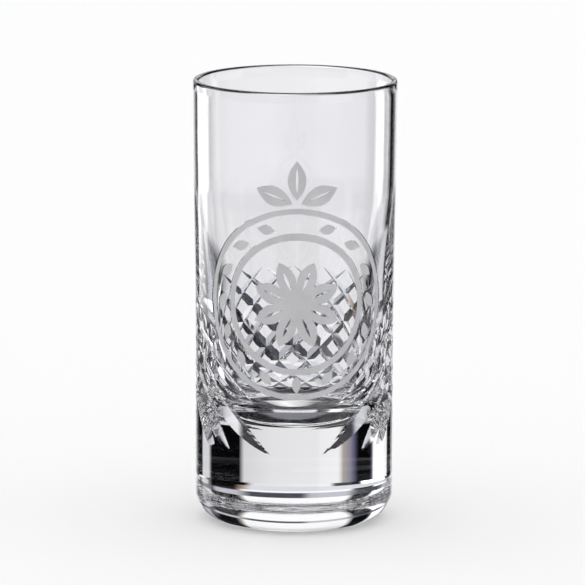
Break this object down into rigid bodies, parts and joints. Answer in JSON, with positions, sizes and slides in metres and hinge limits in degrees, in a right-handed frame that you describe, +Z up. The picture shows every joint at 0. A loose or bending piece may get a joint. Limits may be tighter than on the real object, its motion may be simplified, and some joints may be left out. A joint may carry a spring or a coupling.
{
  "type": "shot glass",
  "caption": "Tall straight shot glass in cut crystal: thin smooth rim, thick clear base, diamond and curved leaf cuts, and a frosted ring medallion on the front.",
  "frame": {"origin": "centre of the flat resting face, on the surface that the glass stands on", "axes": "+Z up along the axis of the glass, through its mouth; the medallion faces -Y"},
  "size_m": [0.04, 0.04, 0.0874],
  "materials": {
    "crystal": "fire-polished clear lead crystal, wheel-cut and acid-polished grooves",
    "carved_frost": "sand-carved matt frost"
  },
  "bodies": {
    "root": {"glass_body": "crystal", "carved_outer_ring": "carved_frost", "carved_inner_ring": "carved_frost", "carved_rosette": "carved_frost", "carved_border_leaf_01": "carved_frost", "carved_border_leaf_02": "carved_frost", "carved_border_leaf_03": "carved_frost", "carved_border_leaf_04": "carved_frost", "carved_border_leaf_05": "carved_frost", "carved_border_leaf_06": "carved_frost", "carved_border_leaf_07": "carved_frost", "carved_border_leaf_08": "carved_frost", "carved_border_leaf_09": "carved_frost", "carved_border_leaf_10": "carved_frost", "carved_border_leaf_11": "carved_frost", "carved_border_leaf_12": "carved_frost", "carved_border_leaf_13": "carved_frost", "carved_border_leaf_14": "carved_frost", "carved_border_leaf_15": "carved_frost", "carved_sprig_leaf_1": "carved_frost", "carved_sprig_leaf_2": "carved_frost", "carved_sprig_leaf_3": "carved_frost"}
  },
  "joints": []
}
